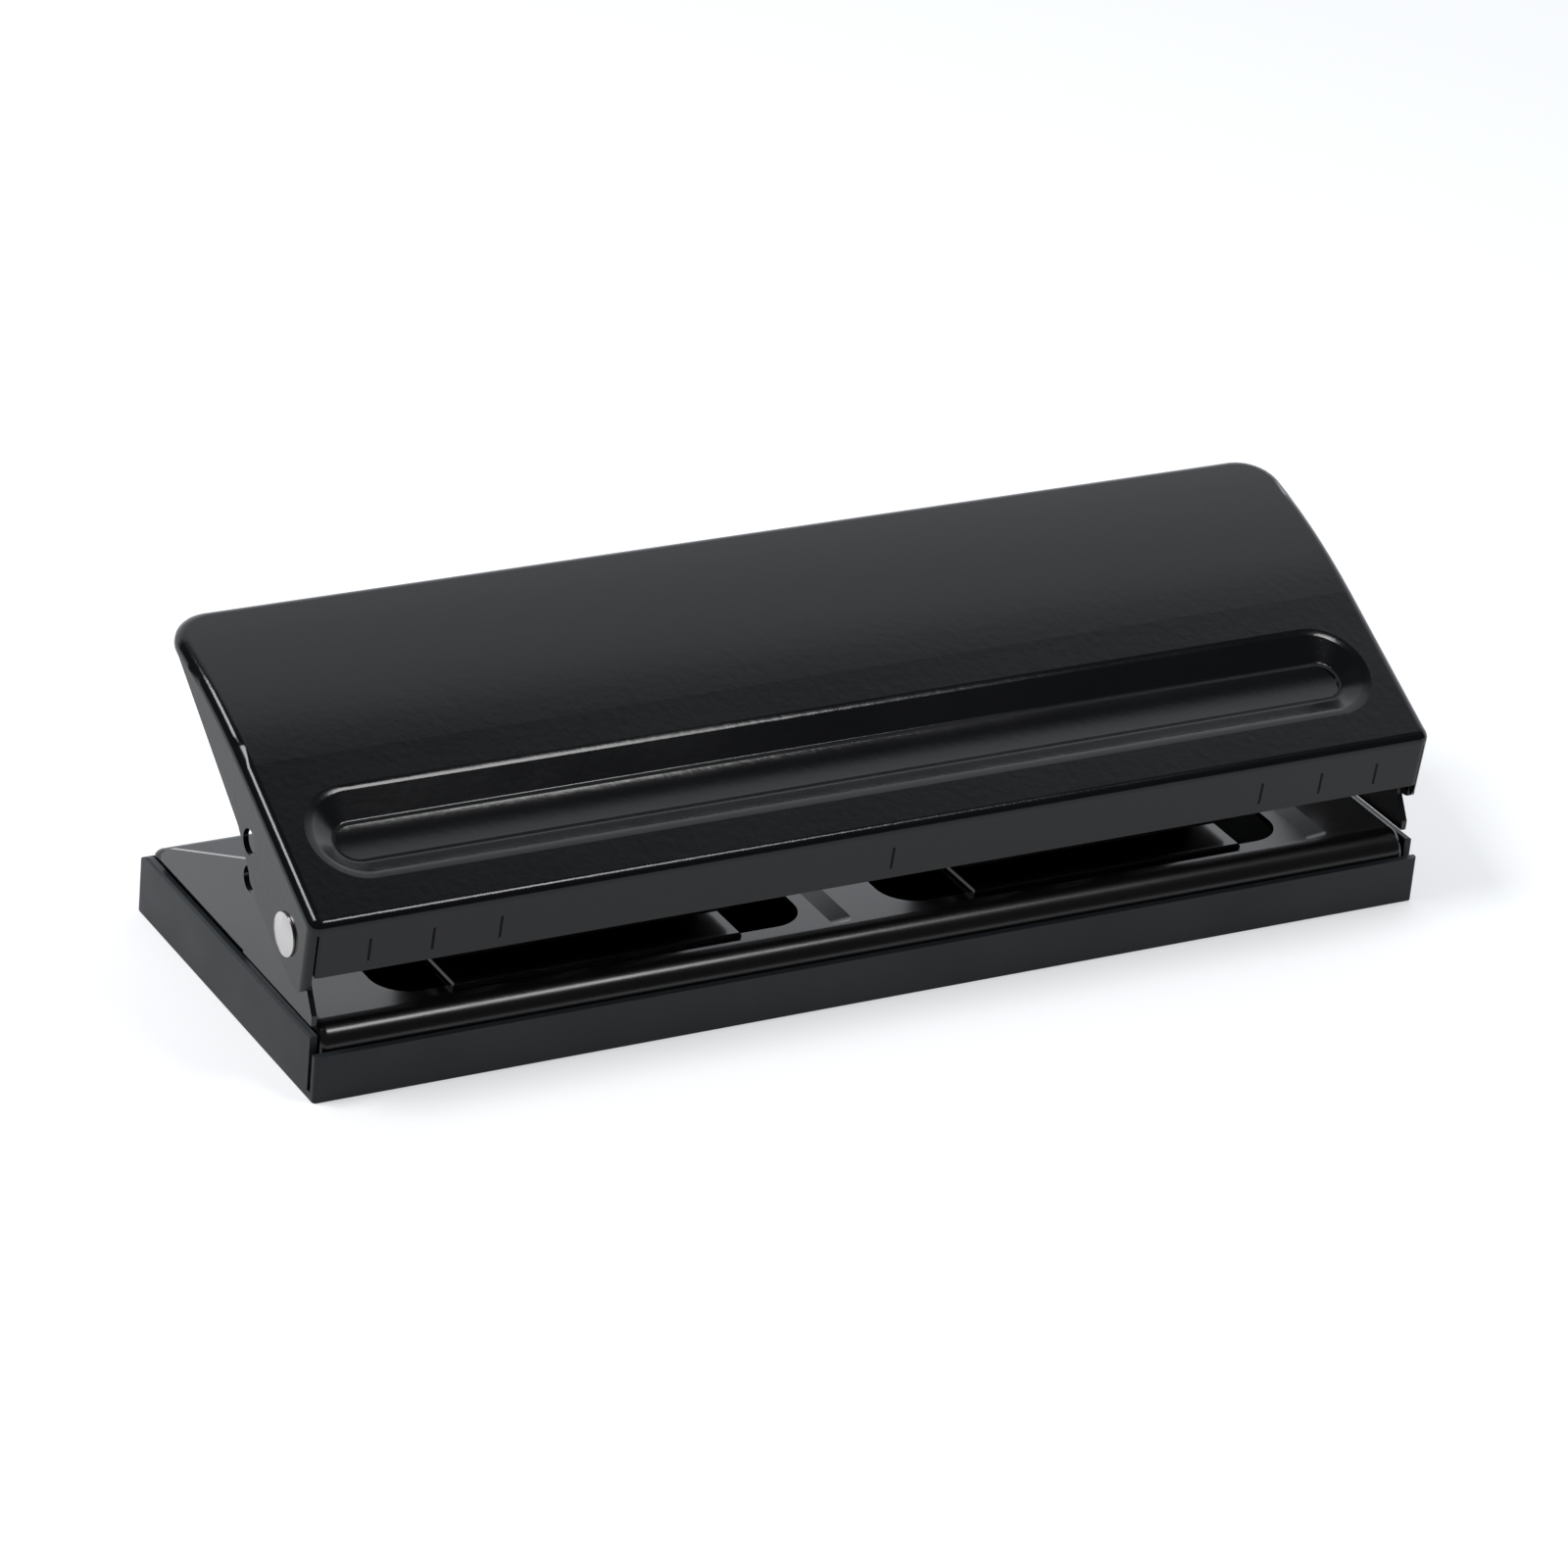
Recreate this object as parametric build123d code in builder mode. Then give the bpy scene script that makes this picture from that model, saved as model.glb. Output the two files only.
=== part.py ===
"""Desk hole punch with two sliding three-pin punch heads, in millimetres.

X runs along the punch, +Y goes to the back and +Z up. The origin is at the middle of the tray's underside.
"""
import os
from math import atan2, cos, hypot, pi, radians, sin, sqrt, tan

from build123d import *

os.makedirs("parts", exist_ok=True)

# Sheet metal and clearances
sheet = 1.2                 # handle and base plate
frame_sheet = 1.5           # punch frames
running_gap = 0.06          # radial, pins and pivots in their holes
sliding_gap = 0.1           # between flat faces that slide on each other
seat_gap = 0.05             # under the plate's lips
plate_gap = 0.4             # between the plate's lips and the tray's walls
pin_gap = 0.4               # between the pins and the handle's groove
cut_over = 5.0              # how far a cutting form runs past the face that it opens
touch = 0.01                # two places closer than this count as one

# Chip tray
tray_length = 262.0
tray_depth = 88.0
tray_wall = 1.6
tray_floor = 1.8
tray_ledge = 1.8            # width of the ledge that the plate's lips stand on
tray_front_height = 10.5
tray_side_height = 13.8
tray_corner = 2.0           # back corners in plan
tray_back_round = 5.0       # rounding of the walls' tops at the back, seen from the side
space_corner = 3.4          # inside corners of the chip space
tray_front_corner = 0.9
tray_edge = 0.6             # rounding of the walls' top edges
tray_foot_edge = 0.25       # rounding of the underside's edges
slit_width = 1.5            # slits that let the front wall flex

# Base plate
plate_top = 15.2
lip_height = 6.2
front_roll = 5.0            # outer radius of the front lip
back_roll = 2.4
side_roll = 2.0

# Ears that carry the handle, turned up from the plate's sides
ear_gap = 0.8               # between an ear and the handle's side flange
ear_bend = 1.0              # inner radius of the fold
ear_root_run = 24.5         # start of the fold, behind the pivot
ear_back_run = 64.3         # end of the fold, behind the pivot
ear_heel = 5.0              # height above the plate where the heel ends
ear_heel_run = 3.6          # run of the sloping heel
ear_boss = 6.4              # material around the pivot
ear_crest_run = 19.5        # behind the pivot, where the sloping top edge meets the level one
ear_foot = 0.6              # free lower edge above the plate
ear_toe = 9.6               # ahead of the pivot, where that edge starts
ear_toe_height = 2.2        # the toe above the plate
ear_toe_rise = 7.4          # run up from the toe to the boss
ear_round = 3.0
ear_heel_round = 8.0
notch_width = 1.4
notch_depth = 1.0

# Handle, measured along and below the outer face of its flat part
handle_reach = 1.2          # past the tray's side, at each end
handle_travel = 28.0        # degrees
handle_tilt = 27.7          # degrees, at rest
handle_bend = 2.4           # outer radius of the pressed edges
handle_corner = 9.0         # back corners in plan
straight_run = 39.9
back_radius = 152.0
back_sweep = 16.7           # degrees that the curved back part turns through
rim_depth = 3.2             # down-turned rim at the back
front_lean = 20.9           # degrees, front flange from the plate's normal
front_drop = 11.7           # front flange, below the outer face
flange_depth = 18.4         # side flanges, at the front
flange_deep_run = 20.5
flange_mid_run = 34.2
flange_mid_depth = 12.4
flange_round = 4.6          # lower front corner
flange_set = 1.2            # that corner stands back from the front face
flange_sweep = 7.0
corner_roll = 2.7           # outer radius of the front corners
corner_strip = 1.6          # width of that turned strip in front
corner_tab = 4.6            # tab behind the front flange
seam = 0.35

# Stamped groove in the handle
groove_end = 7.7            # from the handle's end to the groove
groove_width = 21.4
groove_middle = 20.7
groove_floor_end = 12.7     # from the handle's end to the groove's floor
groove_floor_width = 10.1
groove_floor_middle = 19.75
groove_depth = 3.1          # at the middle of the floor
groove_dish = 0.45          # hollow of the floor across its width
groove_shoulder = 4.0
groove_root = 0.9

# Pivot and its shouldered rivets
pivot_setback = 14.15       # behind the tray's front
pivot_z = 31.5
pivot_run = 7.1             # behind the front bend
pivot_depth = 11.9          # below the handle's outer face
shoulder_radius = 3.0
shank_radius = 2.0
rivet_head_radius = 4.6
rivet_head_height = 1.2
rivet_head_crown = 0.8
rivet_crown_steps = 4
rivet_tail_radius = 3.2
rivet_tail_height = 0.9
lock_radius = 22.0          # lock holes, from the pivot
lock_angle = 30.5           # degrees above level, on the handle at rest
lock_hole_radius = 2.8

# Slots in the base plate
slot_pitch = 117.4          # between the middles of the two recesses
recess_length = 108.0
recess_setback = 7.95       # behind the tray's front
recess_depth = 1.2
recess_slope = 1.2          # run of the sloping wall
recess_ramp = 4.0           # run of the sloping wall at the right end
recess_round = 12.5         # corners at the left end
recess_corner = 2.0         # corners at the right end
ledge_front = 4.7           # from the recess's edge to the hole
ledge_left = 2.8
ledge_right = 7.5
slot_round = 8.0

# Punch heads
head_places = {"left": -63.0, "right": 58.5}
head_length = 66.0
hole_pitch = 19.0
pin_setback = 9.0           # behind the pivot
pin_radius = 3.0
paper_gap = 2.5
paper_margin = 6.3          # from the pins' middle to the paper's edge
die_flange = 1.3
die_edge = 0.4
boss_inset = 3.0            # the die's boss is shorter than the die at each end
boss_gap = 0.4              # between the boss and the slot
die_seat = 2.2              # width of the die's flange on the ledge
retainer_thickness = 1.4
retainer_lap = 2.6          # the retainer reaches past the slot at front and back
retainer_inset = 2.0
chip_hole_radius = 4.0
screw_place = 9.5           # screws stand midway between pins
screw_radius = 1.25
screw_head_radius = 2.2
screw_head_height = 1.3
screw_reach = 1.6           # into the die
frame_front = 6.6           # frame ahead of the pins
frame_height = 17.9         # outside, from lower flange to upper flange
frame_bend = 0.9            # inner radius
head_rivet_radius = 1.2
head_rivet_head_radius = 2.0
head_rivet_head_height = 1.1
tip_gap = 0.3               # pin tip above the paper gap at rest
tip_hollow = 0.8
tip_hollow_radius = 6.0
dome_height = 0.9
dome_steps = 3
collar_thickness = 0.9
collar_radius = 4.9
collar_groove_radius = 2.3
wire = 1.0
coil_radius = 4.25          # to the middle of the wire
coil_turns = 3
wire_sides = 6               # drawn with flats, to keep the coils light
lead_angle = 60.0           # degrees of turn from the straight end to the coil
lead_rise = 1.5

# Places that follow from the sizes above
tray_side = tray_length / 2
tray_front = -tray_depth / 2
tray_back = tray_depth / 2
lip_bottom = plate_top - lip_height
ledge_top = lip_bottom - seat_gap
plate_underside = plate_top - sheet
plate_side = tray_side - tray_wall - plate_gap
plate_front = tray_front + tray_wall + plate_gap
plate_back = tray_back - tray_wall - plate_gap
handle_half = tray_side + handle_reach
handle_length = 2 * handle_half
groove_length = handle_length - 2 * groove_end
groove_floor_length = handle_length - 2 * groove_floor_end
ear_face = handle_half - sheet - ear_gap

pivot_y = tray_front + pivot_setback
pin_row = pivot_y + pin_setback
recess_front = tray_front + recess_setback
ear_root_front = pivot_y + ear_root_run
ear_back = pivot_y + ear_back_run
ear_crest = pivot_y + ear_crest_run

tilt = radians(handle_tilt)
lean = radians(front_lean)
bend_y = pivot_y - pivot_run * cos(tilt) - pivot_depth * sin(tilt)
bend_z = pivot_z - pivot_run * sin(tilt) + pivot_depth * cos(tilt)
bend_point = (0, bend_y, bend_z)
side_plane = Plane(origin=bend_point, x_dir=(0, cos(tilt), sin(tilt)), z_dir=(1, 0, 0))
press_plane = Plane(origin=bend_point, x_dir=(1, 0, 0), z_dir=(0, -sin(tilt), cos(tilt)))

recess_back = 2 * pin_row - recess_front
recess_floor = plate_top - recess_depth
hole_front = recess_front + ledge_front
hole_back = recess_back - ledge_front
pan_bottom = recess_floor - sheet
slot_middles = (-slot_pitch / 2, slot_pitch / 2)

die_bottom = recess_floor + sliding_gap
die_top = die_bottom + die_flange
die_front = hole_front - die_seat
die_back = hole_back + die_seat
retainer_top = pan_bottom - sliding_gap
retainer_bottom = retainer_top - retainer_thickness
paper_top = die_top + paper_gap
stop_face = pin_row + paper_margin
guide_top = paper_top + frame_sheet
frame_top = paper_top + frame_height
collar_top = frame_top - frame_sheet - sliding_gap
collar_bottom = collar_top - collar_thickness
pin_tip = paper_top + tip_gap
head_rivet_row = (stop_face + die_back - frame_sheet - frame_bend) / 2

# The groove's floor as the pins meet it: level with the handle's flat part, under the sheet, at rest
floor_over_pivot = pivot_depth - groove_depth - sheet
dome_radius = (pin_radius ** 2 + dome_height ** 2) / (2 * dome_height)
floor_over_pins = pivot_z + floor_over_pivot / cos(tilt) + (pin_row - pivot_y) * tan(tilt)
pin_top = floor_over_pins - pin_gap - dome_radius * (1 / cos(tilt) - 1)


def save(part, name):
    """Label a finished piece and write it under its node's name."""
    part.label = name
    export_step(part, f"parts/{name}.step")


# Chip tray

tray_slit_front = tray_front + tray_wall

with BuildPart() as chip_tray:
    with BuildSketch() as tray_outline:
        Rectangle(tray_length, tray_depth)
        fillet(tray_outline.vertices().group_by(Axis.Y)[-1], tray_corner)
        fillet(tray_outline.vertices().group_by(Axis.Y)[0], tray_front_corner)
    extrude(amount=tray_side_height)
    with BuildSketch(Plane.XY.offset(ledge_top)) as tray_mouth:
        Rectangle(tray_length - 2 * tray_wall, tray_depth - 2 * tray_wall)
        fillet(tray_mouth.vertices().group_by(Axis.Y)[-1], side_roll + plate_gap)
    extrude(amount=tray_side_height, mode=Mode.SUBTRACT)
    with BuildSketch(Plane.XY.offset(tray_floor)) as chip_space:
        Rectangle(tray_length - 2 * (tray_wall + tray_ledge), tray_depth - 2 * (tray_wall + tray_ledge))
        fillet(chip_space.vertices(), space_corner)
    extrude(amount=tray_side_height, mode=Mode.SUBTRACT)
    fillet(chip_tray.faces().sort_by(Axis.Z)[-1].outer_wire().edges(), tray_edge)
    fillet(chip_tray.faces().sort_by(Axis.Z)[0].outer_wire().edges(), tray_foot_edge)
    with BuildSketch(Plane.YZ):
        with Locations((tray_back, tray_side_height)):
            Rectangle(2 * tray_back_round, 2 * tray_back_round)
        with Locations((tray_back - tray_back_round, tray_side_height - tray_back_round)):
            Circle(tray_back_round, mode=Mode.SUBTRACT)
    extrude(amount=tray_length, both=True, mode=Mode.SUBTRACT)
    with BuildSketch(Plane.XY.offset(tray_front_height)):
        with Locations((0, tray_front)):
            Rectangle(tray_length, 2 * (tray_wall + slit_width))
    extrude(amount=tray_side_height, mode=Mode.SUBTRACT)
    with BuildSketch(Plane.XY.offset(tray_floor)):
        for side in (-1, 1):
            with Locations((side * tray_side, tray_slit_front + slit_width / 2)):
                Rectangle(2 * tray_wall, slit_width)
    extrude(amount=tray_side_height, mode=Mode.SUBTRACT)
save(chip_tray.part, "chip_tray")


# Base plate

def plate_form(inset, bottom):
    """The plate's pan, drawn in by a thickness and filled down to a level."""
    with BuildPart() as form:
        with BuildSketch(Plane.YZ) as section:
            with Locations(((plate_front + plate_back) / 2, (bottom + plate_top - inset) / 2)):
                Rectangle(plate_back - plate_front - 2 * inset, plate_top - inset - bottom)
            upper = section.vertices().group_by(Axis.Y)[-1].sort_by(Axis.X)
            fillet(upper[0], front_roll - inset)
            fillet(section.vertices().group_by(Axis.Y)[-1].sort_by(Axis.X)[-1], back_roll - inset)
        extrude(amount=plate_side - inset, both=True)
        end_edges = form.faces().filter_by(Axis.X).edges()
        rolled_edges = end_edges.filter_by(lambda edge: edge.position_at(0.5).Z > bottom + touch)
        fillet(rolled_edges, side_roll - inset)
    return form.part


def recess_form(top, bottom, growth):
    """A recess's filled shape between two levels: rounded at the left end, ramped at the right."""
    with BuildPart() as form:
        for level, drawn in ((top, 0.0), (bottom, 1.0)):
            left = -recess_length / 2 - growth + drawn * recess_slope
            right = recess_length / 2 + growth - drawn * recess_ramp
            front = recess_front - growth + drawn * recess_slope
            back = recess_back + growth - drawn * recess_slope
            with BuildSketch(Plane.XY.offset(level)) as outline:
                with Locations(((left + right) / 2, (front + back) / 2)):
                    Rectangle(right - left, back - front)
                corners = outline.vertices().group_by(Axis.X)
                fillet(corners[0], recess_round + growth - drawn * recess_slope)
                fillet(outline.vertices().group_by(Axis.X)[-1], recess_corner)
        loft(ruled=True)
    return form.part


def ear_form():
    """The right ear with its fold, as turned up from the plate."""
    fold_top = plate_top + 2 * ear_bend
    root_x = plate_side - side_roll - ear_bend
    with BuildPart() as form:
        with BuildSketch(Plane.XZ.offset(-ear_back)) as fold:
            with BuildLine():
                Polyline(
                    (root_x, plate_underside),
                    (ear_face, plate_underside),
                    (ear_face, fold_top),
                    (ear_face - sheet, fold_top),
                    (ear_face - sheet, plate_top),
                    (root_x, plate_top),
                    close=True,
                )
            make_face()
            outer = fold.vertices().sort_by_distance((ear_face, plate_underside))[0]
            fillet(outer, ear_bend + sheet)
            inner = fold.vertices().sort_by_distance((ear_face - sheet, plate_top))[0]
            fillet(inner, ear_bend)
        extrude(amount=ear_back - ear_root_front)
        with BuildSketch(Plane.YZ.offset(ear_face - sheet)) as blade:
            with BuildLine():
                Polyline(
                    (ear_back, fold_top),
                    (ear_back - ear_heel_run, plate_top + ear_heel),
                    (ear_crest, pivot_z + ear_boss),
                    (pivot_y - ear_boss, pivot_z + ear_boss),
                    (pivot_y - ear_boss, plate_top + ear_toe_rise),
                    (pivot_y - ear_toe, plate_top + ear_toe_height),
                    (pivot_y - ear_toe, plate_top + ear_foot),
                    (ear_root_front, plate_top + ear_foot),
                    (ear_root_front, fold_top),
                    close=True,
                )
            make_face()
            for corner, rounding in (
                ((pivot_y - ear_boss, pivot_z + ear_boss), ear_boss - touch),
                ((pivot_y - ear_boss, plate_top + ear_toe_rise), ear_round),
                ((ear_back - ear_heel_run, plate_top + ear_heel), ear_heel_round),
                ((ear_crest, pivot_z + ear_boss), ear_heel_round),
            ):
                fillet(blade.vertices().sort_by_distance(corner)[0], rounding)
        extrude(amount=sheet)
    return form.part


def around_pivot(radius, angle):
    """A point at a distance and an angle from the pivot, in the Y and Z directions."""
    return (pivot_y + radius * cos(radians(angle)), pivot_z + radius * sin(radians(angle)))


plate_outside = plate_form(0.0, lip_bottom)
plate_inside = plate_form(sheet, lip_bottom - cut_over)
wall_growth = sheet * (hypot(recess_slope, recess_depth) - recess_slope) / recess_depth
recess_outside = recess_form(plate_underside, pan_bottom, wall_growth)
recess_inside = recess_form(plate_top, recess_floor, 0.0)
right_ear = ear_form()
left_ear = right_ear.mirror(Plane.YZ)

with BuildPart() as base_plate:
    add(plate_outside)
    add(plate_inside, mode=Mode.SUBTRACT)
    with BuildSketch(Plane.XY.offset(lip_bottom - cut_over)):
        for side in (-1, 1):
            with Locations((side * plate_side, (ear_root_front + ear_back) / 2)):
                Rectangle(2 * side_roll, ear_back - ear_root_front)
            with Locations((side * plate_side, ear_root_front - notch_width / 2)):
                Rectangle(2 * (side_roll + notch_depth), notch_width)
            with Locations((side * plate_side, ear_back + notch_width / 2)):
                Rectangle(2 * (side_roll + notch_depth), notch_width)
    extrude(amount=lip_height + 2 * cut_over, mode=Mode.SUBTRACT)
    add(right_ear)
    add(left_ear)
    with Locations(*[(middle, 0, 0) for middle in slot_middles]):
        add(recess_outside)
        add(recess_inside, mode=Mode.SUBTRACT)
    with BuildSketch(Plane.XY.offset(pan_bottom - cut_over)) as slot_holes:
        for middle in slot_middles:
            left = middle - recess_length / 2 + ledge_left
            right = middle + recess_length / 2 - ledge_right
            with Locations(((left + right) / 2, pin_row)):
                RectangleRounded(right - left, hole_back - hole_front, slot_round)
    extrude(amount=2 * cut_over, mode=Mode.SUBTRACT)
    with BuildSketch(Plane.YZ):
        with Locations((pivot_y, pivot_z)):
            Circle(shank_radius)
        with Locations(around_pivot(lock_radius, lock_angle - handle_travel)):
            Circle(lock_hole_radius)
    extrude(amount=ear_face + cut_over, both=True, mode=Mode.SUBTRACT)
save(base_plate.part, "base_plate")


# Pivot rivets

shoulder_length = sheet + ear_gap + sliding_gap
tail_start = ear_face - sheet

head_under = ear_face + shoulder_length
head_over = head_under + rivet_head_height


def crown_point(share):
    """A point of the domed head's profile, from its edge (0) to its middle (1)."""
    return (head_over - rivet_head_crown * (1 - share) ** 2, rivet_head_radius * (1 - share))


with BuildPart() as pivot_rivet:
    with BuildSketch(Plane(origin=(0, pivot_y, pivot_z), x_dir=(1, 0, 0), z_dir=(0, -1, 0))):
        with BuildLine():
            Polyline(
                *[crown_point(step / rivet_crown_steps) for step in range(rivet_crown_steps, -1, -1)],
                (head_under, rivet_head_radius),
                (head_under, shoulder_radius),
                (ear_face, shoulder_radius),
                (ear_face, shank_radius),
                (tail_start, shank_radius),
                (tail_start, rivet_tail_radius),
                (tail_start - rivet_tail_height, rivet_tail_radius),
                (tail_start - rivet_tail_height, 0),
                close=True,
            )
        make_face()
    revolve(axis=Axis((0, pivot_y, pivot_z), (1, 0, 0)))
left_rivet = pivot_rivet.part.mirror(Plane.YZ)
save(pivot_rivet.part, "pivot_rivet_right")
save(left_rivet, "pivot_rivet_left")


# Handle

def front_run(drop, inset):
    """Distance along the handle of the front flange's face, a drop below the outer face."""
    return (inset - drop * sin(lean)) / cos(lean)


def handle_form(inset):
    """The handle's filled shape, drawn in by a thickness and deeper than the finished flanges."""
    depth = flange_depth + cut_over + inset
    sweep_angle = radians(back_sweep)
    along = Vector(cos(sweep_angle), -sin(sweep_angle))
    down = Vector(-sin(sweep_angle), -cos(sweep_angle))
    centre = Vector(straight_run, -back_radius)
    rim_run = sqrt((back_radius - inset) ** 2 - inset ** 2)
    back_edge = centre - down * rim_run - along * inset
    half_turn = sweep_angle / 2
    mid_back = centre + Vector(sin(half_turn), cos(half_turn)) * (back_radius - inset)
    front_edge = Vector(front_run(inset, inset), -inset)
    front_foot = Vector(front_run(depth, inset), -depth)
    back_foot = back_edge + down * (rim_depth + cut_over + inset)
    with BuildPart() as form:
        with BuildSketch(side_plane):
            with BuildLine():
                Line(front_edge, (straight_run, -inset))
                ThreePointArc((straight_run, -inset), mid_back, back_edge)
                Polyline(back_edge, back_foot, front_foot, front_edge)
            make_face()
        extrude(amount=handle_half - inset, both=True)

        def place(edge):
            return side_plane.to_local_coords(edge.position_at(0.5))

        def at_end(edge, near, far):
            middle = (near + far) / 2
            spot = place(edge)
            beside = abs(abs(spot.Z) - handle_half + inset) < touch
            return beside and hypot(spot.X - middle.X, spot.Y - middle.Y) < touch

        def on_top(edge):
            spot = place(edge)
            if spot.X <= straight_run + touch:
                return abs(spot.Y + inset) < touch and spot.X < straight_run - touch
            return abs(hypot(spot.X - straight_run, spot.Y + back_radius) - back_radius + inset) < touch

        fillet(form.edges().filter_by(lambda edge: at_end(edge, back_edge, back_foot)), handle_corner - inset)
        fillet(form.edges().filter_by(lambda edge: at_end(edge, front_edge, front_foot)), corner_roll - inset)
        fillet(form.edges().filter_by(on_top), handle_bend - inset)
    return form.part


def flange_trim():
    """Everything below the lower edges of the side flanges and of the back rim, to be cut away."""
    sweep_angle = radians(back_sweep)
    along = Vector(cos(sweep_angle), -sin(sweep_angle))
    down = Vector(-sin(sweep_angle), -cos(sweep_angle))
    rim_end = Vector(straight_run, -back_radius) - down * (back_radius - rim_depth)
    rim_out = rim_end + along * cut_over
    rim_in = rim_end - along * handle_corner
    mid_end = Vector(flange_mid_run, -flange_mid_depth)
    deep_end = Vector(flange_deep_run, -flange_depth)
    foot = Vector(front_run(flange_depth, flange_set), -flange_depth)
    start = Vector(front_run(front_drop, 0.0), -front_drop)
    bottom = -flange_depth - 4 * cut_over
    with BuildPart() as form:
        with BuildSketch(side_plane) as section:
            with BuildLine():
                Polyline(
                    (start.X - cut_over, -front_drop),
                    start,
                    foot,
                    deep_end,
                    mid_end,
                    rim_in,
                    rim_out,
                    (rim_out.X, bottom),
                    (start.X - cut_over, bottom),
                    close=True,
                )
            make_face()
            fillet(section.vertices().sort_by_distance((foot.X, foot.Y))[0], flange_round)
            for corner in (deep_end, mid_end, rim_in):
                fillet(section.vertices().sort_by_distance((corner.X, corner.Y))[0], flange_sweep)
        extrude(amount=handle_half + cut_over, both=True)
    return form.part


def groove_hollow(floor_level, growth, lowered):
    """The hollow across the groove's floor, from a level down."""
    half_width = groove_floor_width / 2 - groove_root
    radius = (half_width ** 2 + groove_dish ** 2) / (2 * groove_dish) + lowered
    half = sqrt(radius ** 2 - (radius - groove_dish) ** 2)
    near = (groove_floor_middle - half, floor_level)
    far = (groove_floor_middle + half, floor_level)
    with BuildPart() as form:
        with BuildSketch(press_plane):
            with Locations((0, groove_floor_middle)):
                SlotOverall(groove_floor_length - 2 * groove_root + 2 * growth, 2 * (half_width + growth))
        extrude(amount=-groove_depth - lowered - cut_over)
        with BuildSketch(side_plane):
            with BuildLine():
                ThreePointArc(near, (groove_floor_middle, floor_level - groove_dish), far)
                Line(far, near)
            make_face()
        extrude(amount=groove_length / 2 + sheet, both=True, mode=Mode.INTERSECT)
    return form.part


def groove_form(rim_growth, floor_growth, lowered):
    """The stamped groove's filled shape, from the handle's face down to its hollowed floor."""
    floor_level = groove_dish - groove_depth - lowered
    floor_plane = press_plane.offset(floor_level)
    with BuildPart() as form:
        with BuildSketch(press_plane):
            with Locations((0, groove_middle)):
                SlotOverall(groove_length + 2 * rim_growth, groove_width + 2 * rim_growth)
        with BuildSketch(floor_plane):
            with Locations((0, groove_floor_middle)):
                SlotOverall(groove_floor_length + 2 * floor_growth, groove_floor_width + 2 * floor_growth)
        loft(ruled=True)
        low_face = form.faces().sort_by(lambda face: floor_plane.to_local_coords(face.center()).Z)[0]
        fillet(low_face.edges(), groove_root + lowered)
        add(groove_hollow(floor_level, floor_growth, lowered))
    return form.part


wall_run = (groove_width - groove_floor_width) / 2
wall_angle = atan2(groove_depth - groove_dish, wall_run)
rim_growth = sheet / sin(wall_angle)
floor_growth = rim_growth - sheet / tan(wall_angle)
handle_outside = handle_form(0.0)
handle_inside = handle_form(sheet)
groove_outside = groove_form(rim_growth, floor_growth, sheet)
groove_inside = groove_form(0.0, 0.0, 0.0)
tab_start = sheet + seam
tab_half_width = (corner_tab + sheet) / 2


def flange_strip(near, far, top, bottom):
    """Outline of a strip along the front flange, between two depths behind its face."""
    return [
        (front_run(top, near), -top),
        (front_run(bottom, near), -bottom),
        (front_run(bottom, far), -bottom),
        (front_run(top, far), -top),
    ]


with BuildPart() as handle_cover:
    add(handle_outside)
    add(handle_inside, mode=Mode.SUBTRACT)
    add(flange_trim(), mode=Mode.SUBTRACT)
    add(groove_outside)
    add(groove_inside, mode=Mode.SUBTRACT)

    def groove_rim(edge):
        spots = [press_plane.to_local_coords(edge.position_at(share)) for share in (0.1, 0.5, 0.9)]
        reach = groove_width / 2 + touch
        return all(abs(spot.Z) < touch and abs(spot.Y - groove_middle) < reach for spot in spots)

    fillet(handle_cover.edges().filter_by(groove_rim), groove_shoulder)
    with BuildSketch(side_plane):
        Polygon(*flange_strip(-1.0, sheet + seam / 2, front_drop, flange_depth + cut_over), align=None)
    extrude(amount=handle_half - corner_strip, both=True, mode=Mode.SUBTRACT)
    for side in (-1, 1):
        with BuildSketch(side_plane.offset(side * (handle_half - corner_strip))):
            Polygon(*flange_strip(-1.0, sheet + seam / 2, handle_bend, flange_depth + cut_over), align=None)
        extrude(amount=seam / 2, both=True, mode=Mode.SUBTRACT)
        with BuildSketch(side_plane.offset(side * (handle_half - sheet / 2 - tab_half_width))):
            Polygon(*flange_strip(tab_start, tab_start + sheet, handle_bend, front_drop), align=None)
        extrude(amount=tab_half_width, both=True)
    with BuildSketch(Plane.YZ):
        with Locations((pivot_y, pivot_z)):
            Circle(shoulder_radius + running_gap)
        with Locations(around_pivot(lock_radius, lock_angle)):
            Circle(lock_hole_radius)
    extrude(amount=handle_half + cut_over, both=True, mode=Mode.SUBTRACT)
save(handle_cover.part, "handle_cover")


# Punch heads

boss_length = head_length - 2 * boss_inset
boss_bottom = retainer_top
head_rivet_place = boss_length / 2 - slot_round
pin_offsets = (-hole_pitch, 0.0, hole_pitch)
screw_offsets = (-screw_place, screw_place)
head_rivet_offsets = (-head_rivet_place, head_rivet_place)


def spread(middle, offsets, row):
    """Places in plan along a head's row."""
    return [(middle + offset, row) for offset in offsets]


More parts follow.
